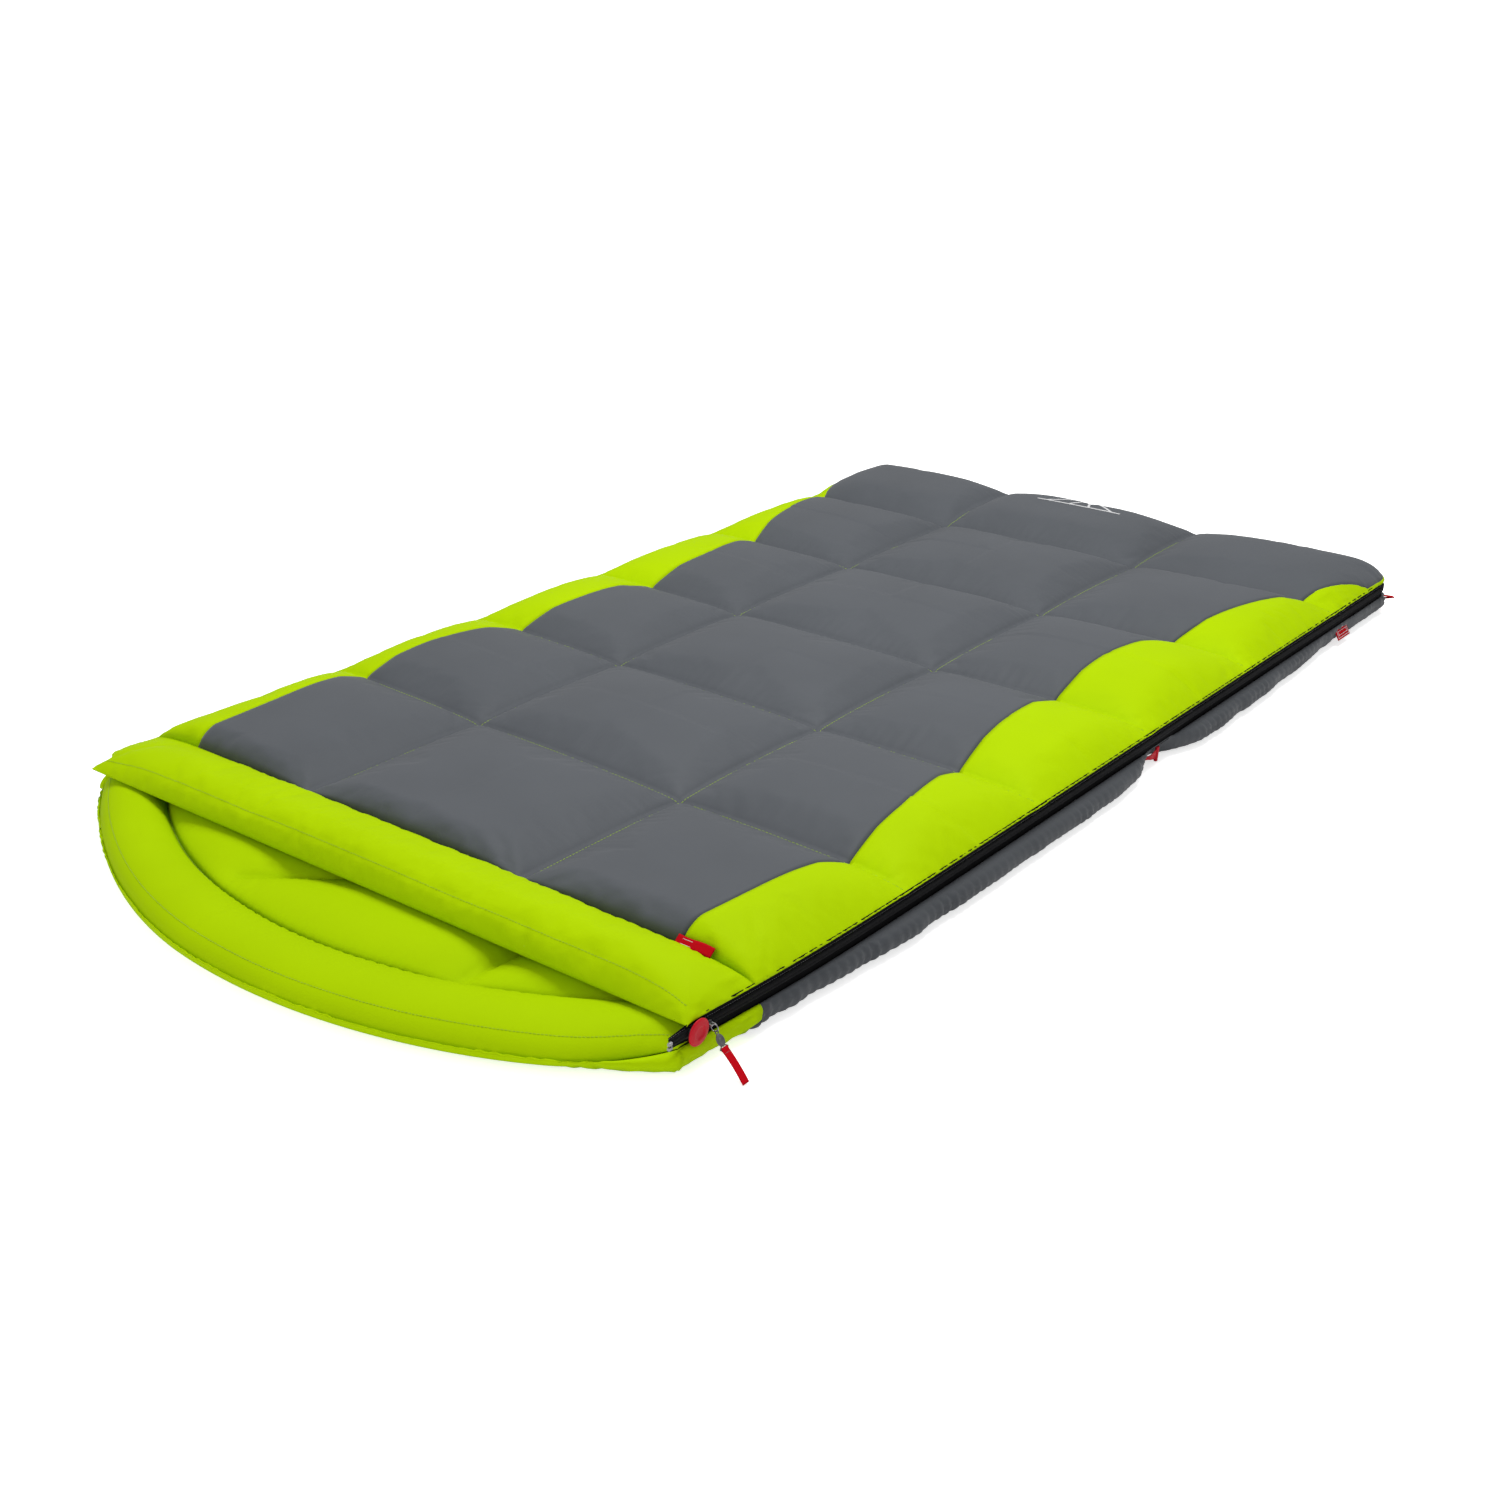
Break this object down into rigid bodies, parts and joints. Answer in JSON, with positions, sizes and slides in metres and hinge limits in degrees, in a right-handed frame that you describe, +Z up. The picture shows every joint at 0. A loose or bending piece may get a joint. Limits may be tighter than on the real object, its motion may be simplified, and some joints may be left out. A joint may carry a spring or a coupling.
{
  "type": "rectangular sleeping bag",
  "caption": "Rectangular quilted sleeping bag with a padded cuff, a half-moon hood, a fold along one side and a zip along the other side and foot.",
  "frame": {"origin": "on the ground, under the centre of the bag's footprint without its zip pull", "axes": "+X towards the zip side, +Y towards the foot, +Z up"},
  "size_m": [1.0442, 2.0544, 0.0913],
  "materials": {
    "grey_shell": "smooth matt woven polyester",
    "lime_shell": "smooth matt woven polyester",
    "lime_lining": "brushed woven polyester",
    "batting": "loose white polyester fibre",
    "zip_tape": "woven tape",
    "zip_coil": "moulded nylon coil",
    "dark_metal": "blackened metal",
    "slider_metal": "die-cast, tumbled",
    "pull_metal": "gunmetal paint",
    "red_plastic": "moulded, semi-gloss",
    "red_ribbon": "woven ribbon"
  },
  "bodies": {
    "base": {"bottom_outer_shell": "grey_shell", "bottom_liner": "lime_lining", "bottom_fill": "batting", "hood_cuff_outer": "lime_shell", "hood_cuff_inner": "lime_lining", "hood_cuff_fill": "batting", "lower_zip_tape": "zip_tape", "lower_zip_coil": "zip_coil", "lower_zip_stop": "dark_metal", "zip_retainer_box": "zip_coil"},
    "top": {"top_centre_panel": "grey_shell", "top_side_panel_fold": "lime_shell", "top_side_panel_zip": "lime_shell", "top_liner": "lime_lining", "top_fill": "batting", "top_cuff_outer": "lime_shell", "top_cuff_inner": "lime_lining", "top_cuff_fill": "batting", "draft_tube_shell": "lime_lining", "draft_tube_fill": "batting", "upper_zip_tape": "zip_tape", "upper_zip_coil": "zip_coil", "upper_zip_stop": "dark_metal", "zip_insert_pin": "zip_coil"},
    "slider": {"slider_body": "slider_metal", "plow_guard": "red_plastic", "slider_staple": "slider_metal"},
    "link": {"pull_link": "slider_metal"},
    "pull": {"metal_pull": "pull_metal"},
    "ribbon": {"ribbon_pull": "red_ribbon"},
    "toggle": {"toggle_strap": "red_plastic", "toggle_bar": "red_plastic"},
    "corner_loop": {"foot_loop": "red_ribbon"},
    "side_tag": {"side_label": "red_ribbon"},
    "cuff_tag": {"cuff_label": "red_ribbon"}
  },
  "joints": [
    {"name": "open_top", "type": "hinge", "parent": "base", "child": "top", "pos_m": [-0.496, 0, 0.045], "axis": [0, -1, 0], "range_deg": [0, 179.5]},
    {"name": "zip_slide", "type": "slide", "parent": "base", "child": "slider", "axis": [0.008, 1, 0], "range_m": [0, 1.68]},
    {"name": "link_swing", "type": "hinge", "parent": "slider", "child": "link", "pos_m": [0.49999, -0.763, 0.046], "axis": [0, -1, 0], "range_deg": [0, 85]},
    {"name": "pull_swing", "type": "hinge", "parent": "link", "child": "pull", "pos_m": [0.50443, -0.763, 0.03965], "axis": [0, -1, 0], "range_deg": [0, 28]},
    {"name": "ribbon_swing", "type": "hinge", "parent": "pull", "child": "ribbon", "pos_m": [0.51476, -0.763, 0.02491], "axis": [0, -1, 0], "range_deg": [0, 45]},
    {"name": "toggle_swing", "type": "hinge", "parent": "base", "child": "toggle", "pos_m": [0.50032, 0.183, 0.0136], "axis": [0, 0, -1], "range_deg": [0, 160]},
    {"name": "corner_loop_swing", "type": "hinge", "parent": "base", "child": "corner_loop", "pos_m": [0.49299, 1.01064, 0.023], "axis": [0.5736, -0.8192, 0], "range_deg": [-35, 30]},
    {"name": "side_tag_flap", "type": "hinge", "parent": "base", "child": "side_tag", "pos_m": [0.50446, 0.82, 0.028], "axis": [0, -1, 0], "range_deg": [-8, 60]},
    {"name": "cuff_tag_flap", "type": "hinge", "parent": "top", "child": "cuff_tag", "pos_m": [0.428, -0.712, 0.0908], "axis": [-1, 0, 0], "range_deg": [0, 100]}
  ]
}
